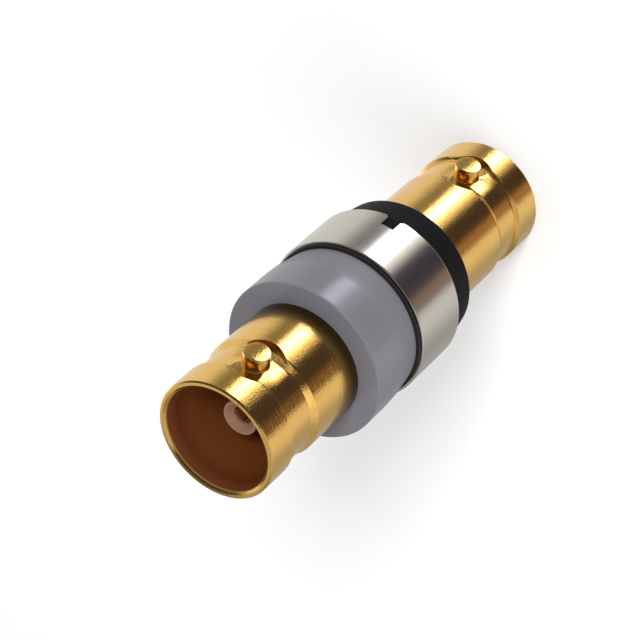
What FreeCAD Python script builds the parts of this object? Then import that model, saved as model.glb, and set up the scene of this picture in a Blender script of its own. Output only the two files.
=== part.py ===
import FreeCAD, Part
import math
import os
import Sketcher
from FreeCAD import Vector

# Insulated jack-to-jack feedthrough for a bayonet coaxial plug, in millimetres.
# It stands on its rear rim: the origin is the rim's centre, +Z runs along the axis to the front rim,
# and the bayonet lugs stand out along X.

doc = FreeCAD.newDocument("insulated_feedthrough")
sheet = doc.addObject("Spreadsheet::Sheet", "sizes")

SIZES = (
    # the whole object
    ("overall_length", 37.4, "rim to rim"),
    ("front_reach", 11.0, "front rim to the collar's face"),
    # the jack's socket, the same at both ends
    ("barrel_diameter", 9.65, "outside of the barrel"),
    ("rim_chamfer", 0.12, "outer edge of the rim"),
    ("mouth_diameter", 8.6, "lead-in's wide end"),
    ("mouth_chamfer", 0.18, "inner edge of the rim"),
    ("lead_in_depth", 0.9, "rim to the lead-in's narrow end"),
    ("bore_diameter", 8.12, "bore that the plug's sleeve enters"),
    ("bore_depth", 8.85, "rim to the face that the plug's sleeve meets"),
    ("web_diameter", 6.6, "hole in the web behind that face"),
    ("web_thickness", 1.6, "the web's thickness"),
    ("seat_diameter", 7.3, "bore that holds the dielectric's flange"),
    # the groove turned round the lugs, and the lugs
    ("groove_diameter", 9.1, "floor of the groove"),
    ("groove_start", 2.65, "rim to the groove's near edge"),
    ("groove_end", 5.8, "rim to the groove's far edge"),
    ("groove_near_ramp", 0.35, "length of the near flank"),
    ("groove_far_ramp", 0.55, "length of the far flank"),
    ("lug_station", 4.22, "rim to the lugs' axis"),
    ("lug_diameter", 2.0, "thickness of a lug"),
    ("lug_chamfer", 0.1, "edge of a lug's end"),
    ("across_lugs", 11.02, "over both lugs"),
    ("lug_seat_diameter", 4.3, "hollow-milled seat round a lug"),
    ("lug_seat_height", 4.4, "axis to the seat's floor"),
    # the joint between the two shells
    ("tail_diameter", 9.1, "front shell's tail, inside the insulators"),
    ("joint_diameter", 8.15, "screwed joint of the two shells"),
    ("neck_length", 2.3, "rear shell's neck, which centres it in the bush"),
    ("joint_length", 9.3, "length of the spigot past that neck"),
    ("joint_gap", 0.2, "room at the spigot's and the tail's ends"),
    ("thread_gap", 0.02, "radial play in the joint"),
    # insulators, gasket and sleeve
    ("slip_gap", 0.05, "radial play of a piece on what it slides over"),
    ("collar_diameter", 13.1, "the collar's cylinder"),
    ("collar_band", 3.7, "length of the collar's cylinder"),
    ("collar_length", 5.72, "face to back"),
    ("collar_back_diameter", 12.42, "small end of the collar's taper"),
    ("gasket_diameter", 12.96, "outside of the gasket"),
    ("gasket_thickness", 0.24, "thickness of the gasket"),
    ("sleeve_diameter", 13.3, "outside of the sleeve"),
    ("sleeve_bore", 11.2, "inside of the sleeve"),
    ("sleeve_length", 5.22, "front edge to rear edge"),
    ("sleeve_chamfer", 0.12, "the sleeve's outer edges"),
    ("keyway_width", 1.1, "width of the keyway"),
    ("keyway_length", 1.25, "rear edge to the keyway's end"),
    ("keyway_flare", 0.22, "corner where the keyway opens"),
    ("key_gap", 0.04, "play round the key"),
    ("bush_diameter", 12.8, "the bush's flange at the sleeve"),
    ("bush_back_diameter", 11.9, "the bush's flange at its back"),
    ("bush_edge", 0.3, "edge of the flange's back"),
    ("bush_length", 2.85, "sleeve to the bush's back"),
    ("liner_gap", 0.1, "liner's end to the gasket"),
    # the dielectrics and the contact
    ("nose_diameter", 2.8, "the dielectric's nose"),
    ("nose_edge", 0.1, "edge of the nose"),
    ("nose_station", 3.0, "rim to the nose's face"),
    ("nose_mouth", 2.3, "wide end of the nose's funnel"),
    ("nose_mouth_depth", 0.45, "depth of that funnel"),
    ("nose_hole", 1.5, "hole that guides the plug's pin"),
    ("nose_lip", 0.7, "the nose's face to the room behind that hole"),
    ("contact_diameter", 2.0, "outside of the contact"),
    ("tip_gap", 0.05, "room between that lip and the contact's tip"),
    ("contact_edge", 0.12, "edge of the contact's tip"),
    ("contact_bore", 1.37, "hole that takes the plug's pin"),
    ("contact_bore_depth", 5.2, "depth of that hole"),
    ("drill_point", 0.4, "depth of the hole's pointed end"),
    ("slot_width", 0.22, "saw cut between the contact's fingers"),
    ("slot_length", 3.6, "length of that cut"),
    ("ring_diameter", 3.4, "ring that holds the contact in the dielectrics"),
    ("ring_thickness", 1.0, "thickness of that ring"),
)


def fill_sheet():
    """One row for each driving size: its name, its value and what it measures."""
    for row, (alias, value, meaning) in enumerate(SIZES, start=1):
        sheet.set(f"A{row}", alias)
        sheet.set(f"B{row}", str(value))
        sheet.set(f"C{row}", meaning)
        sheet.setAlias(f"B{row}", alias)
    doc.recompute()


def half(name):
    """Expression for the radius of the size that is a diameter."""
    return f"sizes.{name} / 2"


def size(name):
    return f"sizes.{name}"


def from_front(distance):
    """Height of a place that lies a distance behind the front rim."""
    return f"sizes.overall_length - ({distance})"


def from_rear(distance):
    """Height of a place that lies a distance in front of the rear rim."""
    return f"({distance})"


# Heights of the faces where the pieces meet, from the front rim down.
COLLAR_FACE = from_front(size("front_reach"))
COLLAR_BACK = f"{COLLAR_FACE} - sizes.collar_length"
SLEEVE_FRONT = f"{COLLAR_BACK} - sizes.gasket_thickness"
SLEEVE_BACK = f"{SLEEVE_FRONT} - sizes.sleeve_length"
BUSH_BACK = f"{SLEEVE_BACK} - sizes.bush_length"
NECK_END = f"{BUSH_BACK} + sizes.neck_length"
SPIGOT_TOP = f"{NECK_END} + sizes.joint_length"
MIDDLE = "sizes.overall_length / 2"

# Distance from each rim to the contact's tip there.
CONTACT_TIP = "sizes.nose_station + sizes.nose_lip + sizes.tip_gap"

# A corner that lies on the axis, and where an outline is drawn before its sizes hold it.
ON_AXIS = "0"
CLEAR_OF_AXIS = 10.0


def new_body(label):
    body = doc.addObject("PartDesign::Body", label)
    body.Label = label
    body.Placement = FreeCAD.Placement(Vector(0, 0, 0), FreeCAD.Rotation())
    return body


def origin_feature(body, role):
    for feature in body.Origin.OriginFeatures:
        if feature.Role == role:
            return feature
    raise RuntimeError(f"{body.Label} has no {role}")


def new_sketch(body, name, role, lift=None):
    """A sketch on one of the body's own planes, or a distance off it."""
    sketch = body.newObject("Sketcher::SketchObject", f"{body.Label}_{name}")
    sketch.AttachmentSupport = [(origin_feature(body, role), "")]
    sketch.MapMode = "FlatFace"
    if lift:
        sketch.setExpression("AttachmentOffset.Base.z", lift)
    return sketch


def draw_outline(sketch, corners):
    """A closed outline through corners, each held by two expressions: across, and up.

    It is first drawn on a small circle clear of the axis, and its sizes then pull it into place."""
    first = sketch.GeometryCount
    count = len(corners)
    turns = [2 * math.pi * i / count for i in range(count)]
    start = [Vector(CLEAR_OF_AXIS + math.cos(turn), math.sin(turn), 0) for turn in turns]
    for i in range(count):
        sketch.addGeometry(Part.LineSegment(start[i], start[(i + 1) % count]), False)
    for i in range(count):
        following = first + (i + 1) % count
        sketch.addConstraint(Sketcher.Constraint("Coincident", first + i, 2, following, 1))
    for i, (across, up) in enumerate(corners):
        if across == ON_AXIS:
            sketch.addConstraint(Sketcher.Constraint("PointOnObject", first + i, 1, -2))
        else:
            hold(sketch, "DistanceX", first + i, start[i].x, across)
        hold(sketch, "DistanceY", first + i, start[i].y, up)


def hold(sketch, direction, line, value, expression):
    """Holds the start of a line at a distance from the sketch's origin."""
    index = sketch.addConstraint(Sketcher.Constraint(direction, -1, 1, line, 1, value))
    sketch.setExpression(f"Constraints[{index}]", expression)


def turned(body, name, corners, cut=False):
    """Turns an outline of (radius, height) corners round the object's axis."""
    sketch = new_sketch(body, f"{name}_outline", "XZ_Plane")
    draw_outline(sketch, corners)
    kind = "PartDesign::Groove" if cut else "PartDesign::Revolution"
    feature = body.newObject(kind, f"{body.Label}_{name}")
    feature.Profile = sketch
    feature.ReferenceAxis = (origin_feature(body, "Z_Axis"), [""])
    feature.Angle = 360
    return feature


def turned_on_lug(body, name, corners, station, cut=False):
    """Turns an outline of (distance out, height) corners round a lug's own axis, which is level."""
    sketch = new_sketch(body, f"{name}_outline", "XZ_Plane")
    draw_outline(sketch, corners)
    axis = sketch.addGeometry(Part.LineSegment(Vector(1, 0, 0), Vector(2, 0, 0)), True)
    sketch.addConstraint(Sketcher.Constraint("Horizontal", axis))
    hold(sketch, "DistanceX", axis, 1.0, size("bore_diameter"))
    hold(sketch, "DistanceY", axis, 1.0, station)
    length = sketch.addConstraint(Sketcher.Constraint("DistanceX", axis, 1, axis, 2, 1.0))
    sketch.setExpression(f"Constraints[{length}]", size("lug_diameter"))
    kind = "PartDesign::Groove" if cut else "PartDesign::Revolution"
    feature = body.newObject(kind, f"{body.Label}_{name}")
    feature.Profile = sketch
    feature.ReferenceAxis = (sketch, ["Axis0"])
    feature.Angle = 360
    return feature


def socket_end(place):
    """Corners of a shell's jack end, from the barrel behind the groove, round the rim, to the seat."""
    barrel = half("barrel_diameter")
    groove = half("groove_diameter")
    mouth = half("mouth_diameter")
    bore = half("bore_diameter")
    web_back = place("sizes.bore_depth + sizes.web_thickness")
    outside = [
        (barrel, place("sizes.groove_end")),
        (groove, place("sizes.groove_end - sizes.groove_far_ramp")),
        (groove, place("sizes.groove_start + sizes.groove_near_ramp")),
        (barrel, place("sizes.groove_start")),
        (barrel, place("sizes.rim_chamfer")),
        (f"{barrel} - sizes.rim_chamfer", place("0")),
    ]
    inside = [
        (f"{mouth} + sizes.mouth_chamfer", place("0")),
        (mouth, place("sizes.mouth_chamfer")),
        (bore, place("sizes.lead_in_depth")),
        (bore, place("sizes.bore_depth")),
        (half("web_diameter"), place("sizes.bore_depth")),
        (half("web_diameter"), web_back),
        (half("seat_diameter"), web_back),
    ]
    return outside + inside


def add_lugs(body, place):
    """Mills a round seat into the barrel on both sides and leaves a lug standing in each, whose end is
    still as round as the bar that it was turned from."""
    station = place("sizes.lug_station")
    wide = f"{station} + sizes.lug_seat_diameter / 2"
    seat = turned_on_lug(body, "seat", [
        (size("lug_seat_height"), station),
        (size("across_lugs"), station),
        (size("across_lugs"), wide),
        (size("lug_seat_height"), wide),
    ], station, cut=True)
    root = "(sizes.bore_diameter / 2 + sizes.lug_seat_height) / 2"
    side = f"{station} + sizes.lug_diameter / 2"
    blank = "sizes.across_lugs / 2 + sizes.lug_chamfer"
    lug = turned_on_lug(body, "lug", [
        (root, station),
        (blank, station),
        (blank, f"{side} - 2 * sizes.lug_chamfer"),
        ("sizes.across_lugs / 2 - sizes.lug_chamfer", side),
        (root, side),
    ], station)
    doc.recompute()
    pair = body.newObject("PartDesign::PolarPattern", f"{body.Label}_lug_pair")
    pair.Originals = [seat, lug]
    pair.Axis = (origin_feature(body, "Z_Axis"), [""])
    pair.Angle = 360
    pair.Occurrences = 2
    body.Tip = pair
    low = f"{station} - sizes.lug_diameter"
    high = f"{station} + sizes.lug_diameter"
    turned(body, "lug_ends", [
        (half("across_lugs"), low),
        (size("across_lugs"), low),
        (size("across_lugs"), high),
        (half("across_lugs"), high),
    ], cut=True)


def make_front_shell():
    """Front jack: its shoulder bears on the collar, and the rear shell's spigot enters its long tail."""
    body = new_body("front_shell")
    joint_end = f"{SPIGOT_TOP} + sizes.joint_gap"
    tail_end = f"{NECK_END} + sizes.joint_gap"
    turned(body, "turning", socket_end(from_front) + [
        (half("seat_diameter"), joint_end),
        (half("joint_diameter"), joint_end),
        (half("joint_diameter"), tail_end),
        (half("tail_diameter"), tail_end),
        (half("tail_diameter"), COLLAR_FACE),
        (half("barrel_diameter"), COLLAR_FACE),
    ])
    add_lugs(body, from_front)
    return body


def make_rear_shell():
    """Rear jack: its shoulder bears on the bush, its neck fills the bush's hole as the front shell's tail
    does, and its spigot screws into that tail."""
    body = new_body("rear_shell")
    spigot = "sizes.joint_diameter / 2 - sizes.thread_gap"
    turned(body, "turning", socket_end(from_rear) + [
        (half("seat_diameter"), SPIGOT_TOP),
        (spigot, SPIGOT_TOP),
        (spigot, NECK_END),
        (half("tail_diameter"), NECK_END),
        (half("tail_diameter"), BUSH_BACK),
        (half("barrel_diameter"), BUSH_BACK),
    ])
    add_lugs(body, from_rear)
    return body


def make_front_collar():
    """Grey insulator on the front shell's tail: flat face, cylinder and tapered back."""
    body = new_body("front_collar")
    outer = half("collar_diameter")
    on_tail = "sizes.tail_diameter / 2 + sizes.slip_gap"
    turned(body, "turning", [
        (on_tail, COLLAR_FACE),
        (outer, COLLAR_FACE),
        (outer, f"{COLLAR_FACE} - sizes.collar_band"),
        (half("collar_back_diameter"), COLLAR_BACK),
        (on_tail, COLLAR_BACK),
    ])
    return body


def make_gasket():
    """Thin black ring between the collar's back and the sleeve's front edge."""
    body = new_body("gasket")
    on_tail = "sizes.tail_diameter / 2 + sizes.slip_gap"
    turned(body, "ring", [
        (on_tail, COLLAR_BACK),
        (half("gasket_diameter"), COLLAR_BACK),
        (half("gasket_diameter"), SLEEVE_FRONT),
        (on_tail, SLEEVE_FRONT),
    ])
    return body


def make_sleeve():
    """Nickel-plated tube, with a keyway cut through its wall at the rear edge."""
    body = new_body("sleeve")
    outer = half("sleeve_diameter")
    inner = half("sleeve_bore")
    turned(body, "turning", [
        (inner, SLEEVE_FRONT),
        (f"{outer} - sizes.sleeve_chamfer", SLEEVE_FRONT),
        (outer, f"{SLEEVE_FRONT} - sizes.sleeve_chamfer"),
        (outer, f"{SLEEVE_BACK} + sizes.sleeve_chamfer"),
        (f"{outer} - sizes.sleeve_chamfer", SLEEVE_BACK),
        (inner, SLEEVE_BACK),
    ])
    sketch = new_sketch(body, "keyway_outline", "YZ_Plane")
    side = half("keyway_width")
    flared = f"{side} + sizes.keyway_flare"
    end = f"{SLEEVE_BACK} + sizes.keyway_length"
    opening = f"{SLEEVE_BACK} + sizes.keyway_flare"
    draw_outline(sketch, [
        (f"-({side})", end),
        (side, end),
        (side, opening),
        (flared, SLEEVE_BACK),
        (f"-({flared})", SLEEVE_BACK),
        (f"-({side})", opening),
    ])
    doc.recompute()
    keyway = body.newObject("PartDesign::Pocket", "sleeve_keyway")
    keyway.Profile = sketch
    keyway.Type = "ThroughAll"
    keyway.Reversed = True
    body.Tip = keyway
    return body


def make_rear_bush():
    """Black insulator: flange behind the sleeve, liner inside it, and the key that fills the keyway."""
    body = new_body("rear_bush")
    on_tail = "sizes.tail_diameter / 2 + sizes.slip_gap"
    liner = "sizes.sleeve_bore / 2 - sizes.slip_gap"
    liner_top = f"{SLEEVE_FRONT} - sizes.liner_gap"
    back = half("bush_back_diameter")
    turned(body, "turning", [
        (on_tail, BUSH_BACK),
        (f"{back} - sizes.bush_edge", BUSH_BACK),
        (back, f"{BUSH_BACK} + sizes.bush_edge"),
        (half("bush_diameter"), SLEEVE_BACK),
        (liner, SLEEVE_BACK),
        (liner, liner_top),
        (on_tail, liner_top),
    ])
    sketch = new_sketch(body, "key_outline", "XY_Plane", SLEEVE_BACK)
    side = "sizes.keyway_width / 2 - sizes.key_gap"
    root = f"({on_tail} + {liner}) / 2"
    draw_outline(sketch, [
        (root, f"-({side})"),
        (half("bush_diameter"), f"-({side})"),
        (half("bush_diameter"), side),
        (root, side),
    ])
    doc.recompute()
    key = body.newObject("PartDesign::Pad", "rear_bush_key")
    key.Profile = sketch
    key.setExpression("Length", "sizes.keyway_length - sizes.key_gap")
    body.Tip = key
    return body


def make_dielectric(label, place):
    """White insulator: slim nose in the socket with a funnel for the pin, neck in the web, flange behind
    it and half of the seat for the contact's ring."""
    body = new_body(label)
    nose = half("nose_diameter")
    passage = "sizes.contact_diameter / 2 + sizes.slip_gap"
    in_web = "sizes.web_diameter / 2 - sizes.slip_gap"
    in_seat = "sizes.seat_diameter / 2 - sizes.slip_gap"
    ring = "sizes.ring_diameter / 2 + sizes.slip_gap"
    web_back = place("sizes.bore_depth + sizes.web_thickness")
    ring_face = place("sizes.overall_length / 2 - sizes.ring_thickness / 2")
    turned(body, "turning", [
        (half("nose_mouth"), place("sizes.nose_station")),
        (f"{nose} - sizes.nose_edge", place("sizes.nose_station")),
        (nose, place("sizes.nose_station + sizes.nose_edge")),
        (nose, place("sizes.bore_depth")),
        (in_web, place("sizes.bore_depth")),
        (in_web, web_back),
        (in_seat, web_back),
        (in_seat, MIDDLE),
        (ring, MIDDLE),
        (ring, ring_face),
        (passage, ring_face),
        (passage, place("sizes.nose_station + sizes.nose_lip")),
        (half("nose_hole"), place("sizes.nose_station + sizes.nose_lip")),
        (half("nose_hole"), place("sizes.nose_station + sizes.nose_mouth_depth")),
    ])
    return body


def make_centre_contact():
    """Double-ended contact: a slotted socket at each end, a ring in the middle, solid between."""
    body = new_body("centre_contact")
    outer = half("contact_diameter")
    bore = half("contact_bore")
    ring = half("ring_diameter")
    ring_front = f"{MIDDLE} + sizes.ring_thickness / 2"
    ring_back = f"{MIDDLE} - sizes.ring_thickness / 2"
    bottom = f"{CONTACT_TIP} + sizes.contact_bore_depth"
    front_half = [
        (outer, ring_front),
        (outer, from_front(f"{CONTACT_TIP} + sizes.contact_edge")),
        (f"{outer} - sizes.contact_edge", from_front(CONTACT_TIP)),
        (bore, from_front(CONTACT_TIP)),
        (bore, from_front(bottom)),
        (ON_AXIS, from_front(f"{bottom} + sizes.drill_point")),
    ]
    rear_half = [
        (ON_AXIS, from_rear(f"{bottom} + sizes.drill_point")),
        (bore, from_rear(bottom)),
        (bore, from_rear(CONTACT_TIP)),
        (f"{outer} - sizes.contact_edge", from_rear(CONTACT_TIP)),
        (outer, from_rear(f"{CONTACT_TIP} + sizes.contact_edge")),
        (outer, ring_back),
    ]
    turned(body, "turning", front_half + rear_half + [(ring, ring_back), (ring, ring_front)])
    doc.recompute()
    for role in ("XZ_Plane", "YZ_Plane"):
        cut_slots(body, role)
    return body


def cut_slots(body, role):
    """One saw cut across both ends of the contact, in the given plane."""
    sketch = new_sketch(body, f"slots_{role[:2]}", role)
    side = half("slot_width")
    for place in (from_front, from_rear):
        draw_outline(sketch, [
            (f"-({side})", place(CONTACT_TIP)),
            (side, place(CONTACT_TIP)),
            (side, place(f"{CONTACT_TIP} + sizes.slot_length")),
            (f"-({side})", place(f"{CONTACT_TIP} + sizes.slot_length")),
        ])
    doc.recompute()
    slots = body.newObject("PartDesign::Pocket", f"{body.Label}_slots_{role[:2]}")
    slots.Profile = sketch
    slots.Type = "ThroughAll"
    slots.Midplane = True
    body.Tip = slots


def check_document():
    doc.recompute()
    for thing in doc.Objects:
        if "Invalid" in thing.State or "Error" in thing.State:
            raise RuntimeError(f"{thing.Label} failed: {thing.State}")


def write_parts(bodies):
    os.makedirs("parts", exist_ok=True)
    for body in bodies:
        shape = body.Shape
        if shape.isNull() or not shape.isValid():
            raise RuntimeError(f"{body.Label} has no valid shape")
        if len(shape.Solids) != 1:
            raise RuntimeError(f"{body.Label} has {len(shape.Solids)} solids")
        box = shape.BoundBox
        print(f"{body.Label:18s} volume {shape.Volume:9.3f} mm3, height {box.ZMin:.2f} to {box.ZMax:.2f}")
        shape.exportStep(f"parts/{body.Label}.step")


fill_sheet()
bodies = [
    make_front_shell(),
    make_rear_shell(),
    make_front_collar(),
    make_gasket(),
    make_sleeve(),
    make_rear_bush(),
    make_dielectric("front_dielectric", from_front),
    make_dielectric("rear_dielectric", from_rear),
    make_centre_contact(),
]
check_document()
write_parts(bodies)
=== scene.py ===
import math

import bmesh
import bpy
import numpy as np
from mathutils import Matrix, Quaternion, Vector


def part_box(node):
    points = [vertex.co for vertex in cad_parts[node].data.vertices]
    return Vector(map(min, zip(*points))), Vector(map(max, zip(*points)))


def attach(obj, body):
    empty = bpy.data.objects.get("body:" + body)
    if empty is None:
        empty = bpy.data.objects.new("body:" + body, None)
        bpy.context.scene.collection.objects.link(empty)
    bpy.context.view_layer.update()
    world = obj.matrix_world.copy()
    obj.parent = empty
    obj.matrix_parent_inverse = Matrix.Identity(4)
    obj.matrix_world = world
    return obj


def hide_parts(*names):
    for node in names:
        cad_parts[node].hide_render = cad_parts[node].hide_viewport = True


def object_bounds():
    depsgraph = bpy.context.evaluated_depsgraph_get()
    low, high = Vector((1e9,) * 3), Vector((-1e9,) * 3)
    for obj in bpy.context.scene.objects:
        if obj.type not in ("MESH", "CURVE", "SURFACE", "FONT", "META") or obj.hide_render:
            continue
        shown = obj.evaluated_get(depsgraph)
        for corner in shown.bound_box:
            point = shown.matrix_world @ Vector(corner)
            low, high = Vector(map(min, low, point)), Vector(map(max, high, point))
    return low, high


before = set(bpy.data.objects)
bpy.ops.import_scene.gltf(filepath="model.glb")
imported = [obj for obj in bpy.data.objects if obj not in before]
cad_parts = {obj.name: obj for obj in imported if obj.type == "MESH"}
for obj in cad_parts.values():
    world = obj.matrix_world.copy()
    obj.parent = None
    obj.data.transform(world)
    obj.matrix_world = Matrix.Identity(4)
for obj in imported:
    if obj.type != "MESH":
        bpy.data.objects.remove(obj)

cad_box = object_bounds()
scene = bpy.context.scene
scene.view_settings.view_transform = "Standard"


# The camera
# It looks down on the front jack from beside the front lug, and is rolled so that the rear jack,
# on which the part stands, is at the picture's upper right.
EYE = Vector((0.10879, -0.05795, 0.13568))
LOOK_AZIMUTH = math.radians(151.327)
LOOK_ELEVATION = math.radians(-42.587)
LOOK_ROLL = math.radians(-131.969)
SENSOR_MM = 36.0
LENS_MM = 127.67
look = Vector((
    math.cos(LOOK_ELEVATION) * math.cos(LOOK_AZIMUTH),
    math.cos(LOOK_ELEVATION) * math.sin(LOOK_AZIMUTH),
    math.sin(LOOK_ELEVATION),
))
camera_data = bpy.data.cameras.new("camera")
camera_data.sensor_width = SENSOR_MM
camera_data.lens = LENS_MM
camera = bpy.data.objects.new("camera", camera_data)
camera.location = EYE
camera.rotation_mode = "QUATERNION"
camera.rotation_quaternion = look.to_track_quat("-Z", "Y") @ Quaternion((0, 0, 1), LOOK_ROLL)
scene.collection.objects.link(camera)
scene.camera = camera


# The studio
# A plain white table, white all round, and two square lamps. White and dark cards, which only mirror rays
# see, stand where the plating mirrors them: a bright lamp strip, a dark gap beside it and pale walls.
def add_node(tree, kind, inputs=None, **settings):
    """A shader node with its settings, and its inputs by name or number, each a value or a socket."""
    made = tree.nodes.new(kind)
    for key, value in settings.items():
        setattr(made, key, value)
    for key, value in (inputs or {}).items():
        if isinstance(value, bpy.types.NodeSocket):
            tree.links.new(value, made.inputs[key])
        else:
            made.inputs[key].default_value = value
    return made


def math_node(tree, operation, *values):
    """The result of one operation on values or sockets."""
    return add_node(tree, "ShaderNodeMath", dict(enumerate(values)), operation=operation).outputs[0]


def product(tree, *values):
    """All the values multiplied together."""
    made = values[0]
    for value in values[1:]:
        made = math_node(tree, "MULTIPLY", made, value)
    return made


def soft_step(tree, value, start, end):
    """0 before start, 1 after end, and a smooth rise between them."""
    step = add_node(tree, "ShaderNodeMapRange", {"Value": value, "From Min": start, "From Max": end},
                    interpolation_type="SMOOTHSTEP")
    return step.outputs["Result"]


def mixed(tree, share, first, second):
    """Colour between first, at share 0, and second, at share 1."""
    mix = add_node(tree, "ShaderNodeMix", data_type="RGBA")
    for socket, value in zip((mix.inputs[0], mix.inputs[6], mix.inputs[7]), (share, first, second)):
        if isinstance(value, bpy.types.NodeSocket):
            tree.links.new(value, socket)
        else:
            socket.default_value = value
    return mix.outputs[2]


def colour(red, green, blue):
    """An opaque colour."""
    return (red, green, blue, 1.0)


def grey(level):
    """The same level of red, green and blue."""
    return colour(level, level, level)


world = bpy.data.worlds.new("studio")
world.use_nodes = True
scene.world = world
air = world.node_tree
air.nodes.clear()
direction = add_node(air, "ShaderNodeTexCoord").outputs["Generated"]
parts = add_node(air, "ShaderNodeSeparateXYZ", {0: direction}).outputs
azimuth = math_node(air, "DEGREES", math_node(air, "ARCTAN2", parts[1], parts[0]))
elevation = math_node(air, "DEGREES", math_node(air, "ARCSINE", parts[2]))


def card(behind, face, sides, heights):
    """A card in front of what is behind it. sides are four azimuths in degrees: where it starts, is full, is
    full to and ends. heights are four elevations of the same kind."""
    middle = (sides[0] + sides[3]) / 2
    turn = math_node(air, "WRAP", math_node(air, "SUBTRACT", azimuth, middle), 180.0, -180.0)
    edges = [side - middle for side in sides]
    cover = product(
        air,
        soft_step(air, turn, edges[0], edges[1]),
        soft_step(air, turn, edges[3], edges[2]),
        soft_step(air, elevation, heights[0], heights[1]),
        soft_step(air, elevation, heights[3], heights[2]),
    )
    return mixed(air, cover, behind, face)


# The camera stands at azimuth -28, so the cards near it are on the camera's side of the part.
LOW_TO_LEVEL = (-80, -70, 4, 10)
LEVEL_TO_TOP = (0, 6, 100, 110)
LAMP_HEIGHTS = (-60, -52, -39, -34)
seen = mixed(air, soft_step(air, elevation, 14.0, 26.0), grey(0.84), grey(0.06))
for face, sides, heights in (
    # Behind the part and beside it: a bright window at level height, a grey wall and two grey floors.
    (grey(1.5), (104, 116, 146, 158), (-26, -14, 8, 14)),
    (grey(0.28), (165, 180, 235, 248), (-8, 4, 100, 110)),
    (grey(0.46), (150, 164, 220, 255), LOW_TO_LEVEL),
    (grey(0.24), (16, 24, 38, 70), LOW_TO_LEVEL),
    # Mirrored low on the barrels in the picture: a pale strip, the dark under it, and a brown patch.
    (colour(1.25, 1.2, 1.1), (-100, -86, -70, -65), (0, 4, 14, 20)),
    (colour(0.12, 0.085, 0.075), (-89, -83, -60, -56), (-80, -70, -4, 2)),
    (colour(0.42, 0.27, 0.20), (-85, -78, -68, -61), (-80, -70, -45, -41)),
    # On the camera's side: a dark room, with the lamp strip and its glow in it.
    (colour(0.060, 0.053, 0.075), (-66, -62, 20, 26), LOW_TO_LEVEL),
    (colour(0.060, 0.050, 0.055), (-64, -59, -34, -26), LEVEL_TO_TOP),
    (colour(1.4, 1.35, 1.25), (-27, -10, 16, 23), LAMP_HEIGHTS),
    (colour(6.5, 6.5, 7.5), (-6, 2, 15, 21), LAMP_HEIGHTS),
    # High up, for the rims and the groove's flanks: two pale cards, and a small dark gap in one.
    (grey(0.60), (-165, -145, -78, -66), (20, 27, 60, 68)),
    (grey(0.66), (105, 118, 163, 172), (8, 16, 52, 60)),
    (grey(0.10), (145, 149, 159, 164), (4, 8, 32, 36)),
):
    seen = card(seen, face, sides, heights)
seen = mixed(air, soft_step(air, elevation, 66.0, 80.0), seen, grey(0.50))

rays = add_node(air, "ShaderNodeLightPath").outputs
ambient = mixed(air, soft_step(air, elevation, 12.0, 50.0), grey(0.78), grey(0.62))
unseen = mixed(air, rays["Is Camera Ray"], ambient, grey(1.0))
around_part = mixed(air, rays["Is Glossy Ray"], unseen, seen)
glow = add_node(air, "ShaderNodeBackground", {"Color": around_part, "Strength": 1.0})
add_node(air, "ShaderNodeOutputWorld", {"Surface": glow.outputs[0]})


def new_material(name):
    """An empty node material, with its tree."""
    material = bpy.data.materials.new(name)
    material.use_nodes = True
    material.node_tree.nodes.clear()
    return material, material.node_tree


# The camera sees the table a little brighter than its light makes it, and mirror rays pass through it.
TABLE_REACH = 3.0
TABLE_DROP = 0.00001
TABLE_LIFT = 0.10
table_white, tree = new_material("table_white")
rays = add_node(tree, "ShaderNodeLightPath").outputs
matt = add_node(tree, "ShaderNodeBsdfDiffuse", {"Color": grey(0.80)})
lift = add_node(tree, "ShaderNodeEmission", {
    "Color": grey(1.0), "Strength": product(tree, rays["Is Camera Ray"], TABLE_LIFT)})
lit = add_node(tree, "ShaderNodeAddShader", {0: matt.outputs[0], 1: lift.outputs[0]})
clear = add_node(tree, "ShaderNodeBsdfTransparent")
surface = add_node(tree, "ShaderNodeMixShader", {
    0: rays["Is Glossy Ray"], 1: lit.outputs[0], 2: clear.outputs[0]})
add_node(tree, "ShaderNodeOutputMaterial", {"Surface": surface.outputs[0]})

table_height = cad_box[0].z - TABLE_DROP
table_mesh = bpy.data.meshes.new("table")
table_mesh.from_pydata([
    (x * TABLE_REACH, y * TABLE_REACH, table_height) for x, y in ((-1, -1), (1, -1), (1, 1), (-1, 1))
], [], [(0, 1, 2, 3)])
table_mesh.materials.append(table_white)
table = bpy.data.objects.new("table", table_mesh)
scene.collection.objects.link(table)


def soft_box(name, azimuth_deg, elevation_deg, distance, width, power):
    """A square lamp that faces the middle of the part and that the plating doesn't mirror."""
    data = bpy.data.lights.new(name, "AREA")
    data.shape = "SQUARE"
    data.size = width
    data.energy = power
    lamp = bpy.data.objects.new(name, data)
    a, e = math.radians(azimuth_deg), math.radians(elevation_deg)
    away = Vector((math.cos(a) * math.cos(e), math.sin(a) * math.cos(e), math.sin(e)))
    middle = (cad_box[0] + cad_box[1]) / 2
    lamp.location = middle + away * distance
    lamp.rotation_mode = "QUATERNION"
    lamp.rotation_quaternion = (-away).to_track_quat("-Z", "Y")
    lamp.visible_glossy = False
    scene.collection.objects.link(lamp)


soft_box("key_lamp", -13.0, 42.0, 0.6, 0.15, 2.3)
soft_box("fill_lamp", 255.0, 44.0, 0.7, 0.6, 1.5)


# The two shells
# Each is turned from brass and gold plated: a socket with a lead-in, a groove between two lands, and two
# bayonet lugs that a hollow mill leaves standing in round seats. The rear one screws into the front one.
# From here on, sizes are in millimetres, and MM makes them metres.
MM = 0.001
TURN_STEPS = 360
HOLD = 0.02
ARC_STEPS = 5
JOIN_WITHIN = 1e-8


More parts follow.
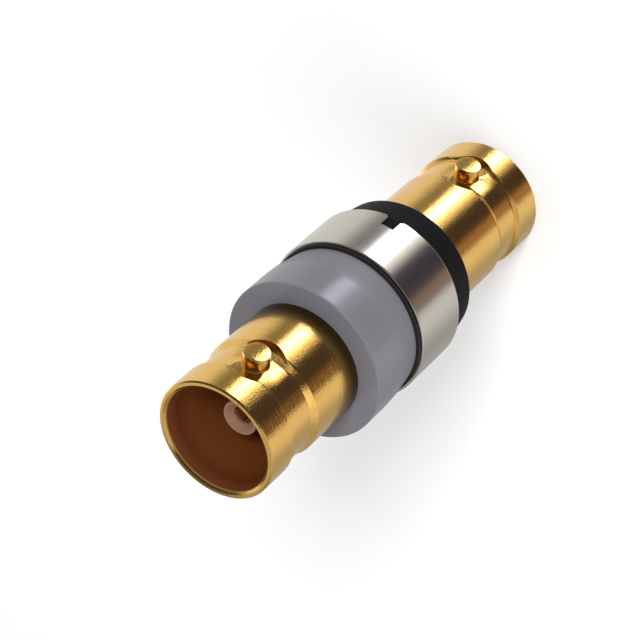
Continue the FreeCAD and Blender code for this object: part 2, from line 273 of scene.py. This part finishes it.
def rounded(corners, closed=True):
    """Outline through corners (radius, height, fillet). Each corner becomes an arc that touches both of its
    sides, and one more point past each end of the arc holds the side straight. Each point of the arc is the
    centre plus a turn from its first radius to its last. An arc takes up at most 0.8 of half a side."""
    count = len(corners)
    points = []
    for i, (radius, height, fillet) in enumerate(corners):
        corner = np.array((radius, height), float)
        at_end = not closed and i in (0, count - 1)
        if at_end or fillet == 0:
            points.append(corner[None])
            continue
        before = np.array(corners[i - 1][:2], float) - corner
        after = np.array(corners[(i + 1) % count][:2], float) - corner
        reach = min(np.linalg.norm(before), np.linalg.norm(after)) / 2
        before, after = before / np.linalg.norm(before), after / np.linalg.norm(after)
        half_angle = math.acos(np.clip(before @ after, -1, 1)) / 2
        start = min(fillet / math.tan(half_angle), 0.8 * reach)
        hold = min(HOLD, 0.5 * (reach - start))
        centre = corner + (before + after) / np.linalg.norm(before + after) * start / math.cos(half_angle)
        first, last = corner + before * start - centre, corner + after * start - centre
        turn = math.pi - 2 * half_angle
        share = np.linspace(0, 1, ARC_STEPS + 1)[:, None]
        arc = centre + (np.sin((1 - share) * turn) * first + np.sin(share * turn) * last) / math.sin(turn)
        points += [(corner + before * (start + hold))[None], arc, (corner + after * (start + hold))[None]]
    return np.concatenate(points)


def carried_round(profiles, angles):
    """Points of profiles carried round the axis: each (radius, height) at an angle lies at
    (radius cos, radius sin, height). profiles is (angles, points, 2) or one profile for all angles."""
    profiles = np.broadcast_to(profiles, (len(angles),) + profiles.shape[-2:])
    radius, height = profiles[..., 0], profiles[..., 1]
    turn = angles[:, None]
    return np.stack([radius * np.cos(turn), radius * np.sin(turn), height], axis=-1)


def grid_faces(lines, points, lines_meet=True, keep=None):
    """Quads between neighbours of a grid of lines by points. The last point of a line joins its first, and
    so do the lines themselves where they meet. keep is a mask of the quads that are made."""
    i = np.arange(lines if lines_meet else lines - 1)[:, None]
    j = np.arange(points)[None, :]
    here, there = i * points, (i + 1) % lines * points
    next_j = (j + 1) % points
    quads = np.stack([here + j, there + j, there + next_j, here + next_j], axis=-1)
    return quads[keep] if keep is not None else quads.reshape(-1, 4)


def piece_of(name, blocks, material, replaced):
    """One closed piece from blocks of (points in millimetres, quads). Points that meet are joined, faces
    turned outwards, and the piece rides on the object and stands for its node."""
    mesh = bpy.data.meshes.new(name)
    points = np.concatenate([block.reshape(-1, 3) for block, quads in blocks]) * MM
    offsets = np.cumsum([0] + [block.reshape(-1, 3).shape[0] for block, quads in blocks[:-1]])
    quads = np.concatenate([quads + offset for (block, quads), offset in zip(blocks, offsets)])
    mesh.from_pydata(points.tolist(), [], quads.tolist())
    work = bmesh.new()
    work.from_mesh(mesh)
    bmesh.ops.remove_doubles(work, verts=work.verts, dist=JOIN_WITHIN)
    bmesh.ops.dissolve_degenerate(work, edges=work.edges, dist=JOIN_WITHIN)
    bmesh.ops.delete(work, geom=[vertex for vertex in work.verts if not vertex.link_faces], context="VERTS")
    bmesh.ops.recalc_face_normals(work, faces=work.faces)
    work.to_mesh(mesh)
    work.free()
    mesh.shade_smooth()
    mesh.materials.append(material)
    made = bpy.data.objects.new(name, mesh)
    scene.collection.objects.link(made)
    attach(made, "root")
    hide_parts(replaced)
    return made


# Stations along a jack are distances from its rim. Each flank of the groove has two, the nearer one first,
# and the lead-in starts at a radius and a distance. The window is the stretch of barrel that is made anew
# round each lug.
BARREL_RADIUS = 4.825
GROOVE_RADIUS = 4.55
GROOVE_FRONT = (2.65, 2.87)
GROOVE_BACK = (5.25, 5.8)
RIM_CHAMFER = 0.12
RIM_EDGE_RADIUS = 4.705
RIM_LEAN = 0.024
RIM_INNER_RADIUS = 4.48
LEAD_IN_START = (4.3, 0.18)
LEAD_IN_END = 0.9
LEAD_IN_CURVE = 1.8
BORE_RADIUS = 4.06
SOCKET_DEPTH = 8.85
WEB_BORE = 3.3
WEB_BACK = 10.45
SEAT_BORE = 3.65
WINDOW_START = 1.52
WINDOW_END = 6.92
WINDOW_DEGREES = 32


def socket_outline():
    """Corners (radius, distance from the rim, fillet) of a jack's end, from the barrel behind the groove,
    round the rim and down the bore to the seat behind the web."""
    return [
        (BARREL_RADIUS, WINDOW_END, 0), (BARREL_RADIUS, GROOVE_BACK[1], 0.08),
        (GROOVE_RADIUS, GROOVE_BACK[0], 0.08), (GROOVE_RADIUS, GROOVE_FRONT[1], 0.08),
        (BARREL_RADIUS, GROOVE_FRONT[0], 0.06), (BARREL_RADIUS, WINDOW_START, 0),
        (BARREL_RADIUS, RIM_CHAMFER, 0.04), (RIM_EDGE_RADIUS, RIM_LEAN, 0.03), (RIM_INNER_RADIUS, 0.0, 0.03),
        (*LEAD_IN_START, 0.04), (BORE_RADIUS, LEAD_IN_END, LEAD_IN_CURVE), (BORE_RADIUS, SOCKET_DEPTH, 0.1),
        (WEB_BORE, SOCKET_DEPTH, 0.05), (WEB_BORE, WEB_BACK, 0.05), (SEAT_BORE, WEB_BACK, 0.05),
    ]


# Points of a shell's outline with a larger radius than this are on its outside.
OUTSIDE_FROM = GROOVE_RADIUS - 0.1
LONGEST_STEP = 0.12
NEARLY = 1e-6


def closer(outline, low, high, longest):
    """The outline with points added on its outside, between two distances from the rim, so that no step
    there is longer than the given one."""
    made = []
    for here, there in zip(outline, np.roll(outline, -1, axis=0)):
        inside = (min(here[0], there[0]) > OUTSIDE_FROM
                  and min(here[1], there[1]) >= low - NEARLY and max(here[1], there[1]) <= high + NEARLY)
        steps = max(1, math.ceil(np.linalg.norm(there - here) / longest)) if inside else 1
        made.append(here + (there - here) * np.arange(steps)[:, None] / steps)
    return np.concatenate(made)


LUG_STATION = 4.22
LUG_RADIUS = 1.0
LUG_END = 5.51
LUG_EDGE_TOP = 0.09
LUG_EDGE_SIDE = 0.04
LUG_FOOT = 0.05
SEAT_RADIUS = 2.15
SEAT_FLOOR = 4.4
SEAT_EDGE = 0.03
FLAT_MIDDLE = 1.16
FLAT_HALF = 1.2
FLAT_DEPTH = 0.105
FLAT_START = -1.2
FLAT_RISE = 1.3
FLOOR_ROWS = 22
BARREL_ROWS = 19


def lug_and_seat(ring, outside):
    """Surface round one lug's axis, in (out, across, along), in lines that run from the lug's middle in the
    directions of the ring's points. ring is the closed edge of barrel points that it fills, as (across,
    along). The lug's end is as round as the bar it was turned from: out is the root of its end's radius
    squared less across squared. The seat's floor is the lower of its plane and the barrel, its wall rises to
    the barrel, and from there each line runs straight to its ring point on the barrel, where out is the root
    of the barrel's radius squared less across squared. The lug's edge and foot and the seat's edge are small
    rounds, the last no more than 0.45 of the wall. In the groove, a flattened hollow runs past each side of
    the lug: depth times (1 + cos(pi p)) / 2 below the round, with p from -1 to 1 over its width."""
    bearing = np.arctan2(ring[:, 1], ring[:, 0])
    quarter = np.linspace(0, math.pi / 2, ARC_STEPS)

    def barrel(across, along):
        radius = np.interp(along + LUG_STATION, outside[:, 1], outside[:, 0])
        place = np.clip((np.abs(across) - FLAT_MIDDLE) / FLAT_HALF, -1, 1)
        in_groove = np.clip((BARREL_RADIUS - radius) / (BARREL_RADIUS - GROOVE_RADIUS), 0, 1)
        rise = np.clip((along - FLAT_START) / FLAT_RISE, 0, 1)
        share = in_groove * rise ** 2 * (3 - 2 * rise)
        return np.sqrt(radius ** 2 - across ** 2) - share * FLAT_DEPTH * (1 + np.cos(math.pi * place)) / 2

    def circle(radius):
        return radius * np.cos(bearing), radius * np.sin(bearing)

    rows = []
    edge = LUG_EDGE_SIDE + (LUG_EDGE_TOP - LUG_EDGE_SIDE) * np.sin(bearing) ** 2
    for share in (0, 0.35, 0.7, 1):
        across, along = circle(share * (LUG_RADIUS - edge))
        rows.append((np.sqrt(LUG_END ** 2 - across ** 2), across, along))
    shoulder = rows[-1][0]
    for turn in quarter[1:]:
        across, along = circle(LUG_RADIUS - edge * (1 - math.sin(turn)))
        rows.append((shoulder - edge * (1 - math.cos(turn)), across, along))
    foot = rounded([
        (LUG_RADIUS, LUG_END, 0), (LUG_RADIUS, SEAT_FLOOR, LUG_FOOT), (SEAT_RADIUS, SEAT_FLOOR, 0),
    ], closed=False)[1:-1]
    for radius, out in foot:
        across, along = circle(radius)
        rows.append((out + np.clip(barrel(across, along) - SEAT_FLOOR, None, 0), across, along))
    wall = np.clip(barrel(*circle(SEAT_RADIUS)) - SEAT_FLOOR, 0, None)
    fillet = np.minimum(SEAT_EDGE, 0.45 * wall)
    foot_end = foot[-1][0]
    for share in np.linspace(0, 1, FLOOR_ROWS)[1:]:
        across, along = circle(foot_end + share * (SEAT_RADIUS - fillet - foot_end))
        rows.append((np.minimum(SEAT_FLOOR, barrel(across, along)), across, along))
    for turn in quarter[1:]:
        across, along = circle(SEAT_RADIUS - fillet * (1 - math.sin(turn)))
        floor = np.minimum(SEAT_FLOOR, barrel(across, along))
        rows.append((floor + fillet * (1 - math.cos(turn)), across, along))
    for turn in quarter:
        across, along = circle(SEAT_RADIUS + fillet * (1 - math.cos(turn)))
        rows.append((barrel(across, along) - fillet * (1 - math.sin(turn)), across, along))
    edge_across, edge_along = circle(SEAT_RADIUS + fillet)
    for share in np.linspace(0, 1, BARREL_ROWS)[1:] ** 1.5:
        across = edge_across + share * (ring[:, 0] - edge_across)
        along = edge_along + share * (ring[:, 1] - edge_along)
        rows.append((barrel(across, along), across, along))
    return np.stack([np.stack(row, axis=-1) for row in rows])


def jack_blocks(corners, rim, towards):
    """A shell's whole surface: its outline carried round the axis, with a window on each side of the barrel
    that a lug and its seat fill. Heights are rim plus towards times the distance from the rim."""
    outline = closer(rounded(corners), WINDOW_START, WINDOW_END, LONGEST_STEP)
    body = carried_round(outline * (1, towards) + (0, rim), np.radians(np.arange(TURN_STEPS)))

    on_barrel = outline[:, 0] > OUTSIDE_FROM
    in_window = on_barrel & (outline[:, 1] > WINDOW_START - NEARLY) & (outline[:, 1] < WINDOW_END + NEARLY)
    rows = np.flatnonzero(in_window)
    rows = rows[np.argsort(outline[rows, 1])]
    both = in_window & np.roll(in_window, -1)
    from_lug = (np.arange(TURN_STEPS) + 90) % 180 - 90
    between = (from_lug >= -WINDOW_DEGREES) & (from_lug < WINDOW_DEGREES)
    blocks = [(body, grid_faces(TURN_STEPS, len(outline), keep=~(between[:, None] & both[None, :])))]

    outside = outline[on_barrel]
    outside = outside[np.argsort(outside[:, 1])]
    turns = np.radians(np.arange(-WINDOW_DEGREES, WINDOW_DEGREES + 1))
    radius, along = outline[rows, 0], outline[rows, 1] - LUG_STATION
    # The window's four edges, joined into one ring.
    near = np.stack([radius[0] * np.sin(turns), np.full_like(turns, along[0])], axis=-1)
    far = np.stack([radius[-1] * np.sin(turns), np.full_like(turns, along[-1])], axis=-1)
    right = np.stack([radius * np.sin(turns[-1]), along], axis=-1)
    left = np.stack([radius * np.sin(turns[0]), along], axis=-1)
    ring = np.concatenate([near[:-1], right[:-1], far[:0:-1], left[:0:-1]])
    patch = lug_and_seat(ring, outside)
    quads = grid_faces(patch.shape[0], patch.shape[1], lines_meet=False)
    for sign in (1, -1):
        placed = np.stack([sign * patch[..., 0], sign * patch[..., 1],
                           rim + towards * (patch[..., 2] + LUG_STATION)], axis=-1)
        blocks.append((placed, quads))
    return blocks


def object_place(tree):
    """The place on the object, in metres."""
    return add_node(tree, "ShaderNodeTexCoord").outputs["Object"]


def noise(tree, place, scale, detail):
    """Noise of so many waves a metre, from 0 to 1."""
    made = add_node(tree, "ShaderNodeTexNoise", {"Vector": place, "Scale": scale, "Detail": detail})
    return made.outputs["Fac"]


def drawn_round(tree, place, share):
    """The place with its sideways parts made smaller, so that noise on it runs round the axis in lines."""
    return add_node(tree, "ShaderNodeMapping", {"Vector": place, "Scale": (share, share, 1.0)}).outputs[0]


def ranged(tree, share, low, high):
    """Value between low, at share 0, and high, at share 1."""
    return add_node(tree, "ShaderNodeMapRange", {"Value": share, "To Min": low, "To Max": high}).outputs[0]


def bumped(tree, height, strength, depth):
    """Normal of a surface with these heights."""
    made = add_node(tree, "ShaderNodeBump", {"Height": height, "Strength": strength, "Distance": depth})
    return made.outputs[0]


def length_of(tree, first, second):
    """Root of the sum of two squares."""
    squares = math_node(tree, "ADD", product(tree, first, first), product(tree, second, second))
    return math_node(tree, "SQRT", squares)


def finished(tree, inputs):
    """Ends a material in one Principled shader with these inputs."""
    shader = add_node(tree, "ShaderNodeBsdfPrincipled", inputs)
    add_node(tree, "ShaderNodeOutputMaterial", {"Surface": shader.outputs[0]})


front_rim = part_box("front_shell")[1].z / MM
front_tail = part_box("front_shell")[0].z / MM
rear_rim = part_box("rear_shell")[0].z / MM
spigot_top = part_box("rear_shell")[1].z / MM
collar_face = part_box("front_collar")[1].z / MM
collar_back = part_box("front_collar")[0].z / MM
bush_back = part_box("rear_bush")[0].z / MM

# The gold is grained and turned outside. In the bores, between two radii, it is duller, and its colour is a
# browner, darker painted shade, deepest on the lead-in by the rim and easing between two depths. On the
# front barrel, between two heights over the collar's face, painted shade and a painted dark reflection of the
# collar darken it. On the walls of the lugs' seats, in a band about the seat's radius, painted shade darkens
# it.
BORE_TO_OUTSIDE = (4.25, 4.35)
BORE_SHADE_DEPTHS = (0.8, 3.0)
SHADE_TOP = 2.1
SHADE_FOOT = 0.5
SHADE_SHARE = 0.9
SEAT_SHADE_BAND = (-0.07, -0.02, 0.01, 0.04)
SEAT_SHADE_FROM_MIDDLE = 4.39
SEAT_SHADE_SHARE = 0.75
gold, tree = new_material("gold_plate")
place = object_place(tree)
axes = add_node(tree, "ShaderNodeSeparateXYZ", {0: place}).outputs
grain = noise(tree, place, 7500.0, 3.0)
turning = noise(tree, drawn_round(tree, place, 0.15), 4200.0, 1.0)
tone = noise(tree, place, 420.0, 2.0)
plating = mixed(tree, tone, colour(0.88, 0.53, 0.14), colour(0.92, 0.57, 0.165))

# Painted shade and a painted dark reflection of the collar's face, on the front barrel next to the collar.
collar_reflection_shade = soft_step(tree, axes[2], (collar_face + SHADE_TOP) * MM, (collar_face + SHADE_FOOT) * MM)
on_front = math_node(tree, "GREATER_THAN", axes[2], collar_back * MM)
plating = mixed(tree, product(tree, collar_reflection_shade, on_front, SHADE_SHARE), plating, colour(0.05, 0.03, 0.012))

half_length = front_rim / 2 * MM
from_middle = math_node(tree, "ABSOLUTE", math_node(tree, "SUBTRACT", axes[2], half_length))
along = math_node(tree, "SUBTRACT", from_middle, half_length - LUG_STATION * MM)
from_lug = length_of(tree, axes[1], along)
# Painted shade on the walls of the lugs' seats: the plating is darkened in a band about the seat's radius.
band = [(SEAT_RADIUS + step) * MM for step in SEAT_SHADE_BAND]
wall = product(
    tree,
    soft_step(tree, from_lug, band[0], band[1]),
    soft_step(tree, from_lug, band[3], band[2]),
    math_node(tree, "GREATER_THAN", math_node(tree, "ABSOLUTE", axes[0]), SEAT_SHADE_FROM_MIDDLE * MM),
    SEAT_SHADE_SHARE,
)
plating = mixed(tree, wall, plating, colour(0.10, 0.045, 0.012))

# Painted shade in the bores: browner and darker than the plating, darkest on the lead-in near the rim.
outer = soft_step(tree, length_of(tree, axes[0], axes[1]), BORE_TO_OUTSIDE[0] * MM, BORE_TO_OUTSIDE[1] * MM)
depth = soft_step(tree, axes[2], (front_rim - BORE_SHADE_DEPTHS[0]) * MM, (front_rim - BORE_SHADE_DEPTHS[1]) * MM)
bore_in_painted_shade = mixed(tree, depth, colour(0.16, 0.042, 0.010), colour(0.25, 0.075, 0.016))
finished(tree, {
    "Base Color": mixed(tree, outer, bore_in_painted_shade, plating),
    "Metallic": ranged(tree, outer, 0.4, 1.0),
    "Roughness": ranged(tree, outer, 0.6, ranged(tree, grain, 0.12, 0.22)),
    "Normal": bumped(tree, math_node(tree, "ADD", grain, product(tree, turning, 0.8)), 0.6, 0.00002),
})

TAIL_RADIUS = 4.55
JOINT_RADIUS = 4.075
JOINT_GAP = 0.2
THREAD_GAP = 0.02
INNER_EDGE = 0.05

front_corners = socket_outline() + [(radius, front_rim - height, INNER_EDGE) for radius, height in (
    (SEAT_BORE, spigot_top + JOINT_GAP), (JOINT_RADIUS, spigot_top + JOINT_GAP), (JOINT_RADIUS, front_tail),
    (TAIL_RADIUS, front_tail), (TAIL_RADIUS, collar_face), (BARREL_RADIUS, collar_face),
)]
piece_of("front_shell_plated", jack_blocks(front_corners, front_rim, -1), gold, "front_shell")

neck_end = front_tail - JOINT_GAP
rear_corners = socket_outline() + [(radius, height - rear_rim, INNER_EDGE) for radius, height in (
    (SEAT_BORE, spigot_top), (JOINT_RADIUS - THREAD_GAP, spigot_top), (JOINT_RADIUS - THREAD_GAP, neck_end),
    (TAIL_RADIUS, neck_end), (TAIL_RADIUS, bush_back), (BARREL_RADIUS, bush_back),
)]
piece_of("rear_shell_plated", jack_blocks(rear_corners, rear_rim, 1), gold, "rear_shell")


# The front collar
# A ring of grey moulded plastic on the front shell's tail, with a flat face, a short cylinder and a
# tapered back.
def turned(name, outline, material, replaced):
    """A piece whose outline is carried round the axis."""
    points = carried_round(outline, np.radians(np.arange(TURN_STEPS)))
    piece_of(name, [(points, grid_faces(TURN_STEPS, len(outline)))], material, replaced)


collar_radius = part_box("front_collar")[1].x / MM
COLLAR_BAND = 3.7
CROWN_START = 2.65
CROWN_DROP = 0.055
CROWN_CURVE = 0.5
COLLAR_BACK_RADIUS = 6.21
DULL_START = 1.0
DULL_FULL = -0.1
SLIP_GAP = 0.05
TAIL_HOLE = TAIL_RADIUS + SLIP_GAP

# The plastic is half glossy on the cylinder and duller on the taper.
plastic, tree = new_material("grey_plastic")
place = object_place(tree)
height = add_node(tree, "ShaderNodeSeparateXYZ", {0: place}).outputs[2]
mottle = noise(tree, place, 260.0, 3.0)
band_end = collar_face - COLLAR_BAND
taper = soft_step(tree, height, (band_end + DULL_START) * MM, (band_end + DULL_FULL) * MM)
finished(tree, {
    "Base Color": mixed(tree, mottle, colour(0.146, 0.143, 0.160), colour(0.168, 0.165, 0.183)),
    "Roughness": ranged(tree, taper, ranged(tree, mottle, 0.2, 0.28), 0.5),
    "Normal": bumped(tree, noise(tree, place, 900.0, 2.0), 0.08, 0.00002),
})
turned("front_collar_moulded", rounded([
    (TAIL_HOLE, collar_face, 0.03), (collar_radius, collar_face, 0.12),
    (collar_radius, collar_face - CROWN_START, CROWN_CURVE),
    (collar_radius - CROWN_DROP, band_end, CROWN_CURVE),
    (COLLAR_BACK_RADIUS, collar_back, 0.06), (TAIL_HOLE, collar_back, 0.03),
]), plastic, "front_collar")


# The gasket
# A thin black rubber ring, pressed between the collar's back and the sleeve's front edge.
gasket_low, gasket_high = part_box("gasket")
gasket_radius = gasket_high.x / MM
gasket_top = gasket_high.z / MM
gasket_foot = gasket_low.z / MM

rubber, tree = new_material("black_rubber")
dust = noise(tree, object_place(tree), 3000.0, 3.0)
finished(tree, {
    "Base Color": mixed(tree, dust, colour(0.006, 0.006, 0.006), colour(0.014, 0.013, 0.012)),
    "Roughness": 0.55,
    "Normal": bumped(tree, dust, 0.2, 0.00003),
})
turned("gasket_ring", rounded([
    (TAIL_HOLE, gasket_top, 0.03), (gasket_radius, gasket_top, 0.09),
    (gasket_radius, gasket_foot, 0.09), (TAIL_HOLE, gasket_foot, 0.03),
]), rubber, "gasket")


# The sleeve
# A turned brass tube with satin nickel plating. A keyway with a flared mouth is milled through its wall at
# the rear edge.
sleeve_low, sleeve_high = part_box("sleeve")
sleeve_radius = sleeve_high.x / MM
sleeve_front = sleeve_high.z / MM
sleeve_back = sleeve_low.z / MM
SLEEVE_BORE = 5.6
SLEEVE_CHAMFER = 0.1
KEYWAY_HALF = 0.55
KEYWAY_LENGTH = 1.25
KEYWAY_FLARE = 0.22
NOTCH_POINTS = 9
TOO_CLOSE = 1e-4
SHARP_EDGE = math.radians(50)


def keyway_steps(radius, gap):
    """The keyway's outline on a cylinder, less a gap, as (angle, lift) steps from one side of its mouth to
    the other. The lift is the distance from the sleeve's rear edge."""
    side = (KEYWAY_HALF - gap) / radius
    mouth = (KEYWAY_HALF + KEYWAY_FLARE - gap) / radius
    right = [(side, KEYWAY_LENGTH - gap), (side, KEYWAY_FLARE), (mouth, 0)]
    return [(-turn, lift) for turn, lift in reversed(right)] + right


def notch_angles(steps):
    """Angles round the axis, and the lift at each: whole degrees with no lift beside the notch, the notch's
    steps, of which two at the same angle make a wall, and even angles across its end."""
    turns = np.radians(np.arange(TURN_STEPS) - 180.0)
    edges, heights = np.array(steps).T
    half = len(steps) // 2
    before = turns[turns < edges[0] - TOO_CLOSE]
    after = turns[turns > edges[-1] + TOO_CLOSE]
    across = np.linspace(edges[half - 1], edges[half], NOTCH_POINTS)[1:-1]
    angles = np.concatenate([before, edges[:half], across, edges[half:], after])
    lifts = np.concatenate([np.zeros_like(before), heights[:half], np.full_like(across, heights[half]),
                            heights[half:], np.zeros_like(after)])
    return angles, lifts


def notched(name, corners, steps, material, replaced):
    """A piece whose outline is carried round the axis, with corners (radius, height, fillet, share). At each
    angle a corner is lifted by its share of the notch's lift. Edges sharper than the roundings stay sharp."""
    angles, lifts = notch_angles(steps)
    profiles = np.stack([
        rounded([(radius, height + share * lift, fillet) for radius, height, fillet, share in corners])
        for lift in lifts
    ])
    faces = grid_faces(len(angles), profiles.shape[1])
    made = piece_of(name, [(carried_round(profiles, angles), faces)], material, replaced)
    made.data.set_sharp_from_angle(angle=SHARP_EDGE)


# The keyway's walls stand close against the black key, and are painted dark and dull: painted shade in the
# narrow gap. The painted shade starts this far below the sleeve's outside, and reaches this far past the
# keyway's sides and end.
KEYWAY_SHADE_DEPTHS = (0.004, 0.016)
SHADE_PAST_SIDES = 0.02
SHADE_PAST_END = 0.05
nickel, tree = new_material("nickel_plate")
place = object_place(tree)
axes = add_node(tree, "ShaderNodeSeparateXYZ", {0: place}).outputs
lines = noise(tree, drawn_round(tree, place, 0.12), 12000.0, 3.0)
grain = noise(tree, place, 6000.0, 2.0)
radius = length_of(tree, axes[0], axes[1])
across = math_node(tree, "ABSOLUTE", axes[1])
# Painted shade on the keyway's walls: dark, not metallic and rough.
wall = product(
    tree,
    soft_step(tree, radius, (sleeve_radius - KEYWAY_SHADE_DEPTHS[0]) * MM, (sleeve_radius - KEYWAY_SHADE_DEPTHS[1]) * MM),
    math_node(tree, "GREATER_THAN", axes[0], 0.0),
    math_node(tree, "LESS_THAN", across, (KEYWAY_HALF + KEYWAY_FLARE + SHADE_PAST_SIDES) * MM),
    math_node(tree, "LESS_THAN", axes[2], (sleeve_back + KEYWAY_LENGTH + SHADE_PAST_END) * MM),
)
plating = mixed(tree, grain, colour(0.62, 0.575, 0.50), colour(0.66, 0.62, 0.545))
finished(tree, {
    "Base Color": mixed(tree, wall, plating, grey(0.01)),
    "Metallic": math_node(tree, "SUBTRACT", 1.0, wall),
    "Roughness": ranged(tree, wall, ranged(tree, lines, 0.18, 0.28), 0.95),
    "Normal": bumped(tree, math_node(tree, "ADD", lines, product(tree, grain, 0.6)), 0.12, 0.00002),
})
notched("sleeve_plated", [
    (SLEEVE_BORE, sleeve_front, 0.03, 0), (sleeve_radius, sleeve_front, SLEEVE_CHAMFER, 0),
    (sleeve_radius, sleeve_back, SLEEVE_CHAMFER, 1), (SLEEVE_BORE, sleeve_back, 0.03, 1),
], keyway_steps(sleeve_radius, 0), nickel, "sleeve")


# The rear bush
# Black moulded plastic: a tapered flange behind the sleeve, a liner inside it, and a key that fills the
# keyway.
bush_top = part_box("rear_bush")[1].z / MM
bush_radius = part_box("rear_bush")[1].x / MM
BUSH_BACK_RADIUS = 5.95
LINER_RADIUS = SLEEVE_BORE - SLIP_GAP
KEY_GAP = 0.04
KEY_ROOT = 0.08

black, tree = new_material("black_plastic")
grain = noise(tree, object_place(tree), 2200.0, 3.0)
finished(tree, {
    "Base Color": mixed(tree, grain, colour(0.004, 0.0042, 0.005), colour(0.007, 0.0073, 0.008)),
    "Roughness": ranged(tree, grain, 0.45, 0.6),
    "Specular IOR Level": 0.06,
    "Normal": bumped(tree, grain, 0.15, 0.00003),
})
notched("rear_bush_moulded", [
    (TAIL_HOLE, bush_back, 0.03, 0), (BUSH_BACK_RADIUS, bush_back, 0.3, 0),
    (bush_radius, sleeve_back - KEY_ROOT, 0.02, 0), (bush_radius, sleeve_back, 0.02, 1),
    (LINER_RADIUS, sleeve_back, 0.02, 1), (LINER_RADIUS, bush_top, 0.03, 0), (TAIL_HOLE, bush_top, 0.03, 0),
], keyway_steps(bush_radius, KEY_GAP), black, "rear_bush")


# The dielectrics
# Two white fluoroplastic turnings, one in each socket: a slim nose with a funnel for the plug's pin, a neck
# in the web and a flange behind it. They meet in the middle, round the contact's ring.
dielectric_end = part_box("rear_dielectric")[1].z / MM - rear_rim
NOSE_START = 3.0
NOSE_RADIUS = 1.4
FUNNEL_RADIUS = 1.15
FUNNEL_END = 3.45
PIN_HOLE_RADIUS = 0.75
CONTACT_START = 3.7
CONTACT_HOLE_RADIUS = 1.05
RING_RADIUS = 1.75
RING_HALF = 0.5
dielectric_corners = [
    (FUNNEL_RADIUS, NOSE_START, 0.06), (NOSE_RADIUS, NOSE_START, 0.1), (NOSE_RADIUS, SOCKET_DEPTH, 0.03),
    (WEB_BORE - SLIP_GAP, SOCKET_DEPTH, 0.03), (WEB_BORE - SLIP_GAP, WEB_BACK, 0.03),
    (SEAT_BORE - SLIP_GAP, WEB_BACK, 0.03), (SEAT_BORE - SLIP_GAP, dielectric_end, 0.03),
    (RING_RADIUS, dielectric_end, 0.03), (RING_RADIUS, dielectric_end - RING_HALF, 0.02),
    (CONTACT_HOLE_RADIUS, dielectric_end - RING_HALF, 0.02), (CONTACT_HOLE_RADIUS, CONTACT_START, 0.02),
    (PIN_HOLE_RADIUS, CONTACT_START, 0.02), (PIN_HOLE_RADIUS, FUNNEL_END, 0.08),
]

# The fluoroplastic is white, but its colour here is dark brown: painted shade in the sockets and painted warm
# light bounced from the gold.
dielectric_in_painted_shade, tree = new_material("white_dielectric")
cloud = noise(tree, object_place(tree), 700.0, 2.0)
finished(tree, {
    "Base Color": mixed(tree, cloud, colour(0.26, 0.14, 0.085), colour(0.30, 0.165, 0.10)),
    "Roughness": 0.5,
    "Subsurface Weight": 0.3,
    "Subsurface Scale": 0.001,
    "Normal": bumped(tree, cloud, 0.1, 0.00003),
})
for name, rim, towards in (("front_dielectric", front_rim, -1), ("rear_dielectric", rear_rim, 1)):
    outline = rounded(dielectric_corners) * (1, towards) + (0, rim)
    turned(f"{name}_turned", outline, dielectric_in_painted_shade, name)


# The centre contact
# Turned and gold plated: a slotted socket at each end for a plug's pin, and a ring between the dielectrics.
# It is the part's own solid, with the shells' gold on it.
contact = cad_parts["centre_contact"]
contact.data.materials.clear()
contact.data.materials.append(gold)
